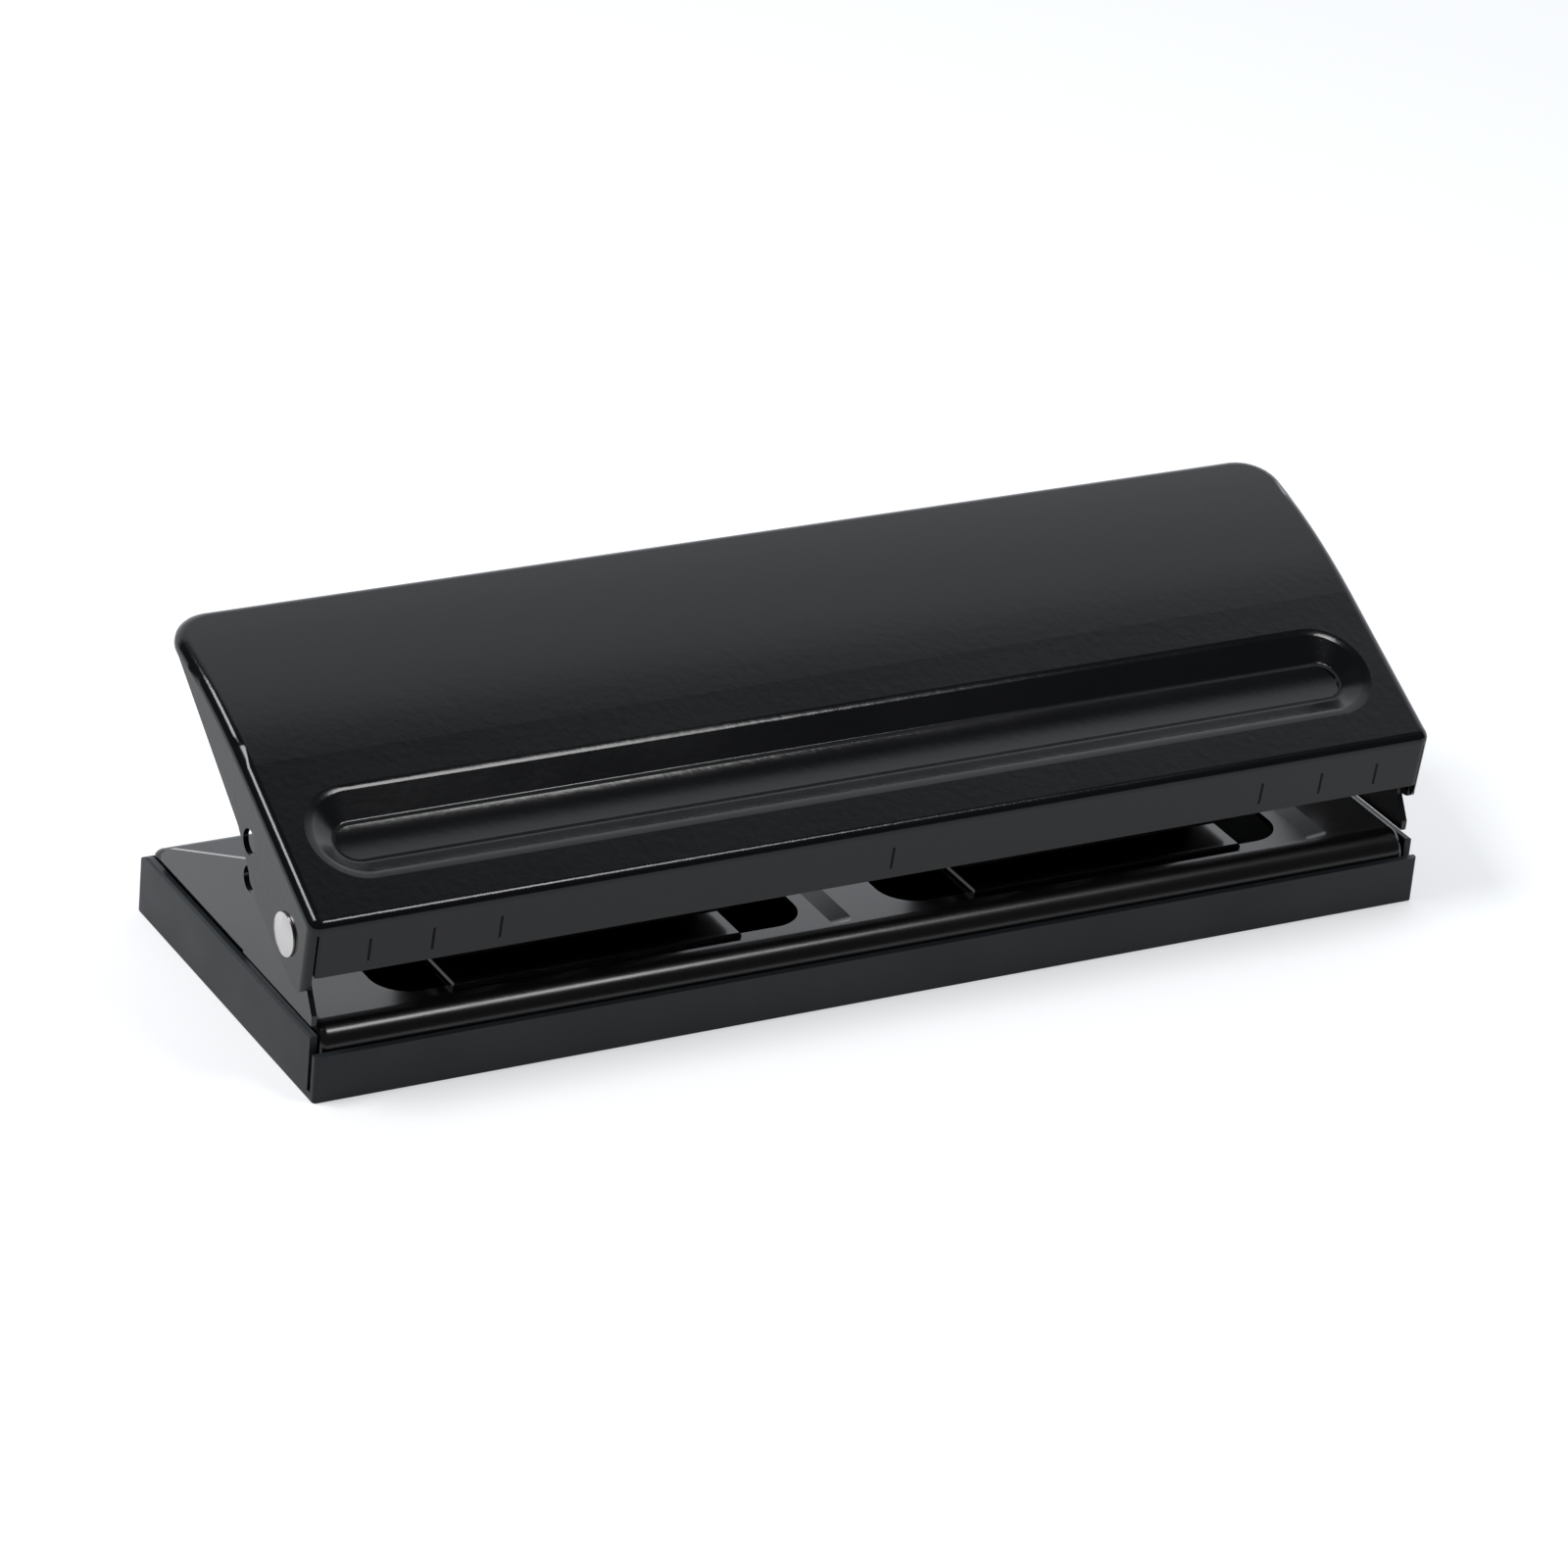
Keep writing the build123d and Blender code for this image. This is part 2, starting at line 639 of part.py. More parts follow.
def die_plate(middle):
    """Flanged die that lies in the recess, with its boss in the slot."""
    with BuildPart() as die:
        with BuildSketch(Plane.XY.offset(die_bottom)):
            with Locations((middle, (die_front + die_back) / 2)):
                Rectangle(head_length, die_back - die_front)
        extrude(amount=die_flange)
        chamfer(die.faces().sort_by(Axis.Z)[-1].edges(), die_edge)
        with BuildSketch(Plane.XY.offset(boss_bottom)):
            with Locations((middle, pin_row)):
                RectangleRounded(boss_length, hole_back - hole_front - 2 * boss_gap, slot_round)
        extrude(amount=die_bottom - boss_bottom)
        with BuildSketch(Plane.XY.offset(boss_bottom)):
            with Locations(*spread(middle, pin_offsets, pin_row)):
                Circle(pin_radius + running_gap)
            with Locations(*spread(middle, head_rivet_offsets, head_rivet_row)):
                Circle(head_rivet_radius)
        extrude(amount=die_top - boss_bottom, mode=Mode.SUBTRACT)
        with BuildSketch(Plane.XY.offset(boss_bottom)):
            with Locations(*spread(middle, screw_offsets, pin_row)):
                Circle(screw_radius)
        extrude(amount=screw_reach, mode=Mode.SUBTRACT)
    return die.part


def back_stop(middle):
    """Spacer bar that sets the paper gap and stops the paper."""
    with BuildPart() as stop:
        with BuildSketch(Plane.XY.offset(die_top)):
            with Locations((middle, (stop_face + die_back) / 2)):
                Rectangle(head_length, die_back - stop_face)
            with Locations(*spread(middle, head_rivet_offsets, head_rivet_row)):
                Circle(head_rivet_radius, mode=Mode.SUBTRACT)
        extrude(amount=paper_gap)
    return stop.part


def punch_frame(middle):
    """C-shaped guide that carries the pins above the paper."""
    front = pin_row - frame_front
    with BuildPart() as frame:
        with BuildSketch(Plane.YZ.offset(middle - head_length / 2)) as section:
            with BuildLine():
                Polyline(
                    (front, paper_top),
                    (die_back, paper_top),
                    (die_back, frame_top),
                    (front, frame_top),
                    (front, frame_top - frame_sheet),
                    (die_back - frame_sheet, frame_top - frame_sheet),
                    (die_back - frame_sheet, guide_top),
                    (front, guide_top),
                    close=True,
                )
            make_face()
            for level in (paper_top, frame_top):
                fillet(section.vertices().sort_by_distance((die_back, level))[0], frame_bend + frame_sheet)
            for level in (guide_top, frame_top - frame_sheet):
                fillet(section.vertices().sort_by_distance((die_back - frame_sheet, level))[0], frame_bend)
        extrude(amount=head_length)
        with BuildSketch(Plane.XY.offset(paper_top)):
            with Locations(*spread(middle, pin_offsets, pin_row)):
                Circle(pin_radius + running_gap)
        extrude(amount=frame_height, mode=Mode.SUBTRACT)
        with BuildSketch(Plane.XY.offset(paper_top)):
            with Locations(*spread(middle, head_rivet_offsets, head_rivet_row)):
                Circle(head_rivet_radius)
        extrude(amount=frame_sheet, mode=Mode.SUBTRACT)
    return frame.part


def head_rivets(middle):
    """Two rivets that clamp frame, back stop and die together."""
    with BuildPart() as rivets:
        with BuildSketch(Plane.XY.offset(boss_bottom)):
            with Locations(*spread(middle, head_rivet_offsets, head_rivet_row)):
                Circle(head_rivet_radius)
        extrude(amount=guide_top - boss_bottom)
        with BuildSketch(Plane.XY.offset(guide_top)):
            with Locations(*spread(middle, head_rivet_offsets, head_rivet_row)):
                Circle(head_rivet_head_radius)
        extrude(amount=head_rivet_head_height)
        chamfer(rivets.edges().group_by(Axis.Z)[-1], head_rivet_head_height / 2)
    return rivets.part


def retainer_plate(middle):
    """Plate under the base plate that keeps the head in its slot."""
    with BuildPart() as retainer:
        with BuildSketch(Plane.XY.offset(retainer_bottom)):
            with Locations((middle, pin_row)):
                RectangleRounded(
                    head_length - 2 * retainer_inset, hole_back - hole_front + 2 * retainer_lap, retainer_lap
                )
            with Locations(*spread(middle, pin_offsets, pin_row)):
                Circle(chip_hole_radius, mode=Mode.SUBTRACT)
            with Locations(*spread(middle, screw_offsets, pin_row)):
                Circle(screw_radius, mode=Mode.SUBTRACT)
        extrude(amount=retainer_thickness)
    return retainer.part


def retainer_screws(middle):
    """Two pan-head screws that hold the retainer to the die."""
    with BuildPart() as screws:
        with BuildSketch(Plane.XY.offset(retainer_bottom)):
            with Locations(*spread(middle, screw_offsets, pin_row)):
                Circle(screw_radius)
        extrude(amount=retainer_thickness + screw_reach)
        with BuildSketch(Plane.XY.offset(retainer_bottom - screw_head_height)):
            with Locations(*spread(middle, screw_offsets, pin_row)):
                Circle(screw_head_radius)
        extrude(amount=screw_head_height)
        chamfer(screws.edges().group_by(Axis.Z)[0], screw_head_height / 3)
    return screws.part


def dome_point(share):
    """A point of the pin's domed top, from its edge (0) to its middle (1)."""
    reach = pin_radius * (1 - share)
    return (reach, pin_top - dome_radius + sqrt(dome_radius ** 2 - reach ** 2))


def punch_pin(x):
    """Punch pin with a hollow cutting tip, a groove for its collar and a domed top."""
    side_on = Plane(origin=(x, pin_row, 0), x_dir=(1, 0, 0), z_dir=(0, -1, 0))
    with BuildPart() as pin:
        with BuildSketch(side_on):
            with BuildLine():
                Polyline(
                    (0, pin_tip),
                    (pin_radius, pin_tip),
                    (pin_radius, collar_bottom),
                    (collar_groove_radius, collar_bottom),
                    (collar_groove_radius, collar_top),
                    (pin_radius, collar_top),
                    *[dome_point(step / dome_steps) for step in range(dome_steps + 1)],
                    close=True,
                )
            make_face()
        revolve(axis=Axis((x, pin_row, 0), (0, 0, 1)))
        with BuildSketch(Plane(origin=(x, pin_row, 0), x_dir=(0, 1, 0), z_dir=(1, 0, 0))):
            with Locations((0, pin_tip + tip_hollow - tip_hollow_radius)):
                Circle(tip_hollow_radius)
        extrude(amount=2 * pin_radius, both=True, mode=Mode.SUBTRACT)
    return pin.part


def pin_collar(x):
    """Snap ring in the pin's groove, open to the front, that the spring pushes on."""
    with BuildPart() as collar:
        with BuildSketch(Plane.XY.offset(collar_bottom)):
            with Locations((x, pin_row)):
                Circle(collar_radius)
                Circle(collar_groove_radius, mode=Mode.SUBTRACT)
            with Locations((x, pin_row - collar_radius / 2)):
                Rectangle(2 * collar_groove_radius, collar_radius, mode=Mode.SUBTRACT)
        extrude(amount=collar_thickness)
    return collar.part


def coil_point(x, angle, z):
    """A point on the spring's middle line."""
    return Vector(x + coil_radius * cos(angle), pin_row + coil_radius * sin(angle), z)


def coil_heading(angle, climb):
    """Unit direction of the coil at an angle, for a climb per radian."""
    return Vector(-coil_radius * sin(angle), coil_radius * cos(angle), climb).normalized()


def biarc(start, start_heading, end, end_heading):
    """Two arcs that leave the start and reach the end in the given directions."""
    chord = end - start
    turn = 1 - start_heading.dot(end_heading)
    reach = chord.dot(start_heading + end_heading)
    span = (sqrt(reach ** 2 + 2 * turn * chord.dot(chord)) - reach) / (2 * turn)
    middle = (start + end + (start_heading - end_heading) * span) / 2
    TangentArc(start, middle, tangent=start_heading)
    TangentArc(end, middle, tangent=end_heading * -1)


def return_spring(x):
    """Helical spring between the frame's lower flange and the pin's collar."""
    up = Vector(0, 0, 1)
    lead = radians(lead_angle)
    coil_low = guide_top + wire + lead_rise
    coil_high = collar_bottom - wire - lead_rise
    climb = (coil_high - coil_low) / (2 * pi * coil_turns)
    quarters = 4 * coil_turns
    end_angle = 2 * pi * coil_turns
    low_end = coil_point(x, -lead, guide_top + wire)
    high_end = coil_point(x, end_angle + lead, collar_bottom - wire)
    with BuildPart() as spring:
        with BuildLine() as path:
            Line(coil_point(x, -lead, guide_top), low_end)
            biarc(low_end, up, coil_point(x, 0, coil_low), coil_heading(0, climb))
            for quarter in range(quarters):
                near = quarter * pi / 2
                far = near + pi / 2
                biarc(
                    coil_point(x, near, coil_low + climb * near),
                    coil_heading(near, climb),
                    coil_point(x, far, coil_low + climb * far),
                    coil_heading(far, climb),
                )
            biarc(coil_point(x, end_angle, coil_high), coil_heading(end_angle, climb), high_end, up)
            Line(high_end, coil_point(x, end_angle + lead, collar_bottom))
        with BuildSketch(Plane(origin=coil_point(x, -lead, guide_top), z_dir=(0, 0, 1))):
            RegularPolygon(wire / 2, wire_sides)
        sweep(path=path.wires()[0])
    return spring.part, path.wires()[0]


def least_gap(path):
    """Least distance between the spring's own turns, measured on points along its middle line."""
    count = 60 * coil_turns
    skip = 30
    points = [path.position_at(step / count) for step in range(count + 1)]
    pairs = ((one, two) for one in range(count) for two in range(one + skip, count + 1))
    return min((points[one] - points[two]).length for one, two in pairs) - wire


for side_name, middle in head_places.items():
    save(die_plate(middle), f"die_plate_{side_name}")
    save(back_stop(middle), f"back_stop_{side_name}")
    save(punch_frame(middle), f"punch_frame_{side_name}")
    save(head_rivets(middle), f"head_rivets_{side_name}")
    save(retainer_plate(middle), f"retainer_plate_{side_name}")
    save(retainer_screws(middle), f"retainer_screws_{side_name}")
    for number, offset in enumerate(pin_offsets, start=1):
        save(punch_pin(middle + offset), f"punch_pin_{side_name}_{number}")
        save(pin_collar(middle + offset), f"pin_collar_{side_name}_{number}")
        spring_part, spring_line = return_spring(middle + offset)
        save(spring_part, f"return_spring_{side_name}_{number}")
        print("spring", side_name, number, "least gap between turns", round(least_gap(spring_line), 2), "mm")

print("pin top at rest", round(pin_top, 2), "pin length", round(pin_top - pin_tip, 2))
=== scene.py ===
"""Looks for a long desk hole punch: black paint, moulded tray, bright rivets, marks and springs."""

import math

import bmesh
import bpy
from bpy.props import FloatProperty, FloatVectorProperty, IntProperty, PointerProperty
from bpy.types import Operator, Panel, PropertyGroup
from mathutils import Matrix, Vector


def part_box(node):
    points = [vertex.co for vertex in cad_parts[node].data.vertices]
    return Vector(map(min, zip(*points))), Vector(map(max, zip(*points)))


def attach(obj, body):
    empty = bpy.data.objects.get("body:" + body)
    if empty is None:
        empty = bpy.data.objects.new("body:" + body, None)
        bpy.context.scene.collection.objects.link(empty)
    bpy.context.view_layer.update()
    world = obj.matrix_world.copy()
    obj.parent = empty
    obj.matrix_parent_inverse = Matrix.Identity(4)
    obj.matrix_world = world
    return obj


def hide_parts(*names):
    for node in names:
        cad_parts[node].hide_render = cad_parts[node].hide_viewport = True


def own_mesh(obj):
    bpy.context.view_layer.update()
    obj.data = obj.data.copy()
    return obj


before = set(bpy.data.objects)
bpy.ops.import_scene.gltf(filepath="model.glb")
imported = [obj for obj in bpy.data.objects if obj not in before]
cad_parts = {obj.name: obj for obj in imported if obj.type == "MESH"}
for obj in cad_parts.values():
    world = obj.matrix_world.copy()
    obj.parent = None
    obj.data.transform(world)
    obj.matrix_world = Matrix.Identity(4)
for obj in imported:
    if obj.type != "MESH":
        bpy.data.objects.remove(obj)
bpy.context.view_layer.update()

bl_info = {
    "name": "Desk hole punch",
    "version": (1, 0, 0),
    "blender": (4, 5, 0),
    "location": "View3D > Sidebar > Hole punch",
    "description": "Dresses the packed model of a long desk hole punch and sets its stage",
    "category": "Object",
}

MM = 0.001
SIDES = ("left", "right")
PIN_NUMBERS = (1, 2, 3)

# The handle's front flange at rest: the top of its outer face, and the ways down along it and out of it
FLANGE_TOP = Vector((0.0, -0.04167, 0.03874))
FLANGE_DOWN = Vector((0.0, 0.1184, -0.9930))
FLANGE_OUT = Vector((0.0, -0.9930, -0.1184))

# Free lower edge of the right ear: middle and size. The left ear's edge is its mirror image
EAR_EDGE_MIDDLE = Vector((0.1296, -0.0231, 0.0156))
EAR_EDGE_SIZE = Vector((0.00116, 0.0326, 0.0008))

# Paper-size marks on the front flange, from the middle of the punch
MARK_PLACES = (-0.119, -0.105, -0.090, 0.0, 0.090, 0.105, 0.119)

# The springs' meshes: rings in a turn, sides of the wire, close turns at each end and their pitch in wires
COIL_STEPS = 36
WIRE_SIDES = 12
CLOSE_TURNS = 0.75
CLOSE_PITCH = 1.06

# Most of a noise texture's values lie in this range
NOISE_RANGE = (0.3, 0.7)

# The bright screen: which way it stands, where its edge falls off, the heights over which it fades, its tint
SCREEN_SIDE = (0.5, 0.866, 0.0)
SCREEN_EDGE = (0.19, 0.47)
SCREEN_RISE = (0.42, 0.66)
SCREEN_TINT = (0.96, 0.99, 1.04, 1.0)

# The two softboxes and what they are aimed at: the key over the front, the other over the left side
LAMP_AIM = Vector((0, 0, 0.03))
LAMP_DISTANCE = 1.3
KEY_WAY = Vector((0.335, -0.4, 0.85))
KEY_SIZE = (0.32, 0.22)
SIDE_WAY = Vector((-0.5, 0.17, 0.85))
SIDE_SIZE = (0.52, 0.4)

# The floor reaches this far from the middle to each side
FLOOR_REACH = 12.0

# The camera: its place, its ways right and ahead, its sensor's width in millimetres and its clipping range
CAMERA_PLACE = Vector((-0.63944, -1.06082, 0.64682))
CAMERA_RIGHT = Vector((0.87564, -0.4753, 0.08563))
CAMERA_AHEAD = Vector((0.46016, 0.76725, -0.44674))
CAMERA_SENSOR = 36.0
CAMERA_CLIP = (0.05, 60.0)


# Settings


class PaintSettings(PropertyGroup):
    """Colours and finishes of the punch's surfaces."""

    handle_colour: FloatVectorProperty(
        name="Handle", description="Paint on the handle",
        subtype="COLOR", size=3, min=0, max=1, default=(0.0033, 0.0036, 0.0044),
    )
    handle_roughness: FloatProperty(
        name="Handle roughness", description="Softness of the handle's shine",
        subtype="FACTOR", min=0, max=1, default=0.15,
    )
    plate_colour: FloatVectorProperty(
        name="Base plate", description="Paint on the base plate and the punch heads",
        subtype="COLOR", size=3, min=0, max=1, default=(0.005, 0.005, 0.0056),
    )
    plate_roughness: FloatProperty(
        name="Plate roughness", description="Softness of the base plate's shine",
        subtype="FACTOR", min=0, max=1, default=0.22,
    )
    tray_colour: FloatVectorProperty(
        name="Tray", description="Moulded plastic of the chip tray",
        subtype="COLOR", size=3, min=0, max=1, default=(0.0112, 0.0145, 0.0175),
    )
    mark_colour: FloatVectorProperty(
        name="Marks", description="Paper-size marks on the handle's front",
        subtype="COLOR", size=3, min=0, max=1, default=(0.002, 0.002, 0.002),
    )
    rivet_colour: FloatVectorProperty(
        name="Pivot rivets", description="Bright plating on the pivot rivets",
        subtype="COLOR", size=3, min=0, max=1, default=(0.57, 0.555, 0.545),
    )
    zinc_colour: FloatVectorProperty(
        name="Zinc", description="Plating on the heads' retainers, screws and rivets",
        subtype="COLOR", size=3, min=0, max=1, default=(0.58, 0.59, 0.6),
    )
    pin_colour: FloatVectorProperty(
        name="Pins", description="Ground steel of the punch pins",
        subtype="COLOR", size=3, min=0, max=1, default=(0.62, 0.62, 0.63),
    )
    collar_colour: FloatVectorProperty(
        name="Collars", description="Dark steel of the pins' collars",
        subtype="COLOR", size=3, min=0, max=1, default=(0.32, 0.33, 0.35),
    )
    spring_colour: FloatVectorProperty(
        name="Springs", description="Drawn wire of the return springs",
        subtype="COLOR", size=3, min=0, max=1, default=(0.5, 0.5, 0.52),
    )


class DetailSettings(PropertyGroup):
    """Sizes of the pieces that this file adds."""

    mark_width: FloatProperty(
        name="Mark width", description="Width of a paper-size mark",
        subtype="DISTANCE", unit="LENGTH", default=0.6 * MM,
    )
    mark_length: FloatProperty(
        name="Mark length", description="Length of a paper-size mark",
        subtype="DISTANCE", unit="LENGTH", default=5.2 * MM,
    )
    mark_start: FloatProperty(
        name="Mark start", description="From the handle's front bend to the mark",
        subtype="DISTANCE", unit="LENGTH", default=5.0 * MM,
    )
    mark_depth: FloatProperty(
        name="Mark thickness", description="Thickness of a mark's print",
        subtype="DISTANCE", unit="LENGTH", default=0.02 * MM,
    )
    wire: FloatProperty(
        name="Spring wire", description="Diameter of the springs' wire",
        subtype="DISTANCE", unit="LENGTH", default=0.9 * MM,
    )
    coils: IntProperty(name="Spring coils", description="Turns of each spring", min=2, max=12, default=6)
    coil_radius: FloatProperty(
        name="Coil radius", description="From the pin's axis to the middle of the wire",
        subtype="DISTANCE", unit="LENGTH", default=4.25 * MM,
    )


class StageSettings(PropertyGroup):
    """Camera, floor and light."""

    lens: FloatProperty(name="Lens", description="Focal length in millimetres", default=150.8)
    floor_colour: FloatVectorProperty(
        name="Floor", description="Colour of floor and backdrop",
        subtype="COLOR", size=3, min=0, max=1, default=(0.55, 0.565, 0.585),
    )
    floor_lift: FloatProperty(
        name="Floor lift", description="How much whiter the camera sees the floor",
        subtype="FACTOR", min=0, max=1, default=0.46,
    )
    key_power: FloatProperty(
        name="Key light", description="Power of the softbox over the front", unit="POWER", default=4.0,
    )
    side_power: FloatProperty(
        name="Side light", description="Power of the softbox on the left", unit="POWER", default=11.5,
    )
    front_light: FloatProperty(
        name="Front", description="Brightness of the room in front of the object", default=0.1,
    )
    back_light: FloatProperty(
        name="Back", description="Brightness of the screen behind the object", default=1.28,
    )
    low_light: FloatProperty(
        name="Back, low", description="Brightness of that screen near the floor", default=1.55,
    )


# Shader helpers


def place(node, x, y):
    """Put a node at a place in its tree and hand it back."""
    node.location = (x, y)
    return node


def feed(links, value, socket):
    """Set a socket to a number, or link another socket to it."""
    if isinstance(value, (int, float)):
        socket.default_value = value
    else:
        links.new(value, socket)


def math_node(nodes, links, operation, first, second, x, y):
    """Work out one value from two, each a socket or a number."""
    node = place(nodes.new("ShaderNodeMath"), x, y)
    node.operation = operation
    feed(links, first, node.inputs[0])
    feed(links, second, node.inputs[1])
    return node.outputs["Value"]


def map_range(nodes, links, value, source, target, x, y, interpolation="LINEAR"):
    """Spread a value from a range of numbers over a range whose ends are sockets or numbers."""
    spread = place(nodes.new("ShaderNodeMapRange"), x, y)
    spread.interpolation_type = interpolation
    links.new(value, spread.inputs["Value"])
    for name, end in zip(("From Min", "From Max", "To Min", "To Max"), (*source, *target)):
        feed(links, end, spread.inputs[name])
    return spread.outputs["Result"]


def mix_values(nodes, links, factor, first, second, x, y):
    """Blend two values, each a socket or a number, by a socket."""
    blend = place(nodes.new("ShaderNodeMix"), x, y)
    blend.data_type = "FLOAT"
    links.new(factor, blend.inputs["Factor"])
    feed(links, first, blend.inputs["A"])
    feed(links, second, blend.inputs["B"])
    return blend.outputs["Result"]


def mix_colours(nodes, links, factor, first, second, x, y):
    """Blend two colours by a socket."""
    blend = place(nodes.new("ShaderNodeMix"), x, y)
    blend.data_type = "RGBA"
    links.new(factor, blend.inputs["Factor"])
    blend.inputs["A"].default_value = (*first, 1.0)
    blend.inputs["B"].default_value = (*second, 1.0)
    return blend.outputs["Result"]


def scaled_colour(colour, factor):
    """A colour made lighter or darker."""
    return tuple(min(1.0, channel * factor) for channel in colour)


def object_noise(nodes, links, scale_socket, detail, roughness, x, y):
    """Noise in the object's own metres, so that every piece shares one grain."""
    coordinates = place(nodes.new("ShaderNodeTexCoord"), x - 200, y)
    noise = place(nodes.new("ShaderNodeTexNoise"), x, y)
    noise.inputs["Detail"].default_value = detail
    noise.inputs["Roughness"].default_value = roughness
    links.new(coordinates.outputs["Object"], noise.inputs["Vector"])
    links.new(scale_socket, noise.inputs["Scale"])
    return noise.outputs["Fac"]


# Shared effects


def new_group(name, inputs, outputs):
    """A shader node group with float inputs (name, default) and float outputs (names)."""
    group = bpy.data.node_groups.new(name, "ShaderNodeTree")
    for label, default in inputs:
        socket = group.interface.new_socket(label, in_out="INPUT", socket_type="NodeSocketFloat")
        socket.default_value = default
    for label in outputs:
        group.interface.new_socket(label, in_out="OUTPUT", socket_type="NodeSocketFloat")
    nodes = group.nodes
    return group, nodes, group.links, nodes.new("NodeGroupInput"), nodes.new("NodeGroupOutput")


def make_grain_group():
    """Height of a sprayed or moulded surface: a soft peel with a finer grain in it."""
    group, nodes, links, into, out = new_group(
        "Surface grain",
        [("Peel scale", 700.0), ("Grain scale", 2600.0), ("Grain share", 0.4)],
        ["Height"],
    )
    peel = object_noise(nodes, links, into.outputs["Peel scale"], 1.0, 0.5, 0, 150)
    grain = object_noise(nodes, links, into.outputs["Grain scale"], 2.0, 0.55, 0, -150)
    height = mix_values(nodes, links, into.outputs["Grain share"], peel, grain, 250, 0)
    links.new(height, out.inputs["Height"])
    return group


def make_handling_group():
    """Slow changes in shine where hands, paper and cloths have been."""
    group, nodes, links, into, out = new_group(
        "Handling",
        [("Scale", 22.0), ("Least", 0.25), ("Most", 0.4)],
        ["Roughness"],
    )
    patches = object_noise(nodes, links, into.outputs["Scale"], 3.0, 0.6, 0, 0)
    ends = (into.outputs["Least"], into.outputs["Most"])
    links.new(map_range(nodes, links, patches, NOISE_RANGE, ends, 250, 0), out.inputs["Roughness"])
    return group


def make_dust_group():
    """Mask of fine dust specks."""
    group, nodes, links, into, out = new_group(
        "Dust specks",
        [("Scale", 420.0), ("Size", 0.06), ("Amount", 0.5)],
        ["Mask"],
    )
    coordinates = place(nodes.new("ShaderNodeTexCoord"), -400, 0)
    cells = place(nodes.new("ShaderNodeTexVoronoi"), -200, 0)
    links.new(coordinates.outputs["Object"], cells.inputs["Vector"])
    links.new(into.outputs["Scale"], cells.inputs["Scale"])
    chance = place(nodes.new("ShaderNodeSeparateColor"), 0, -100)
    links.new(cells.outputs["Color"], chance.inputs["Color"])
    near = math_node(nodes, links, "LESS_THAN", cells.outputs["Distance"], into.outputs["Size"], 0, 100)
    few = math_node(nodes, links, "LESS_THAN", chance.outputs["Red"], into.outputs["Amount"], 200, -100)
    links.new(math_node(nodes, links, "MULTIPLY", near, few, 400, 0), out.inputs["Mask"])
    return group


def make_lines_group():
    """Height and tone of metal drawn or turned along one direction."""
    group, nodes, links, into, out = new_group(
        "Drawn lines",
        [("Across", 9000.0), ("Along", 300.0)],
        ["Height", "Tone"],
    )
    coordinates = place(nodes.new("ShaderNodeTexCoord"), -600, 0)
    stretch = place(nodes.new("ShaderNodeCombineXYZ"), -600, -250)
    for axis, scale in (("X", "Across"), ("Y", "Across"), ("Z", "Along")):
        links.new(into.outputs[scale], stretch.inputs[axis])
    scaled = place(nodes.new("ShaderNodeVectorMath"), -400, 0)
    scaled.operation = "MULTIPLY"
    links.new(coordinates.outputs["Object"], scaled.inputs[0])
    links.new(stretch.outputs["Vector"], scaled.inputs[1])
    noise = place(nodes.new("ShaderNodeTexNoise"), -200, 0)
    noise.inputs["Scale"].default_value = 1.0
    noise.inputs["Detail"].default_value = 3.0
    links.new(scaled.outputs["Vector"], noise.inputs["Vector"])
    height = noise.outputs["Fac"]
    links.new(height, out.inputs["Height"])
    links.new(map_range(nodes, links, height, NOISE_RANGE, (0.0, 1.0), 50, -150), out.inputs["Tone"])
    return group


EFFECT_MAKERS = {
    "Surface grain": make_grain_group,
    "Handling": make_handling_group,
    "Dust specks": make_dust_group,
    "Drawn lines": make_lines_group,
}


def add_effect(nodes, name, values, x, y):
    """A shared effect, made when it is first asked for, placed in a material with its own values."""
    node = place(nodes.new("ShaderNodeGroup"), x, y)
    node.node_tree = bpy.data.node_groups.get(name) or EFFECT_MAKERS[name]()
    for socket, value in values.items():
        node.inputs[socket].default_value = value
    return node


# Materials


def new_material(name):
    """An empty node material with its Principled BSDF and output joined."""
    material = bpy.data.materials.new(name)
    material.use_nodes = True
    nodes = material.node_tree.nodes
    nodes.clear()
    surface = place(nodes.new("ShaderNodeBsdfPrincipled"), 500, 0)
    output = place(nodes.new("ShaderNodeOutputMaterial"), 800, 0)
    material.node_tree.links.new(surface.outputs["BSDF"], output.inputs["Surface"])
    return material, nodes, material.node_tree.links, surface


def add_relief(nodes, links, height, depth, strength, surface):
    """Give a surface a bump of a real depth."""
    bump = place(nodes.new("ShaderNodeBump"), 200, -200)
    bump.inputs["Strength"].default_value = strength
    bump.inputs["Distance"].default_value = depth
    links.new(height, bump.inputs["Height"])
    links.new(bump.outputs["Normal"], surface.inputs["Normal"])


def coated_material(name, colour, patches, specks, speck_light, grain, grain_depth, ior, shine):
    """A coloured coat with slow changes in shine, dust specks and a fine relief."""
    material, nodes, links, surface = new_material(name)
    handling = add_effect(nodes, "Handling", patches, -200, 100)
    links.new(handling.outputs["Roughness"], surface.inputs["Roughness"])
    dust = add_effect(nodes, "Dust specks", specks, -200, 300)
    lighter = scaled_colour(colour, speck_light)
    tone = mix_colours(nodes, links, dust.outputs["Mask"], colour, lighter, 100, 300)
    links.new(tone, surface.inputs["Base Color"])
    texture = add_effect(nodes, "Surface grain", grain, -200, -200)
    add_relief(nodes, links, texture.outputs["Height"], grain_depth, 1.0, surface)
    surface.inputs["IOR"].default_value = ior
    surface.inputs["Specular IOR Level"].default_value = shine
    return material


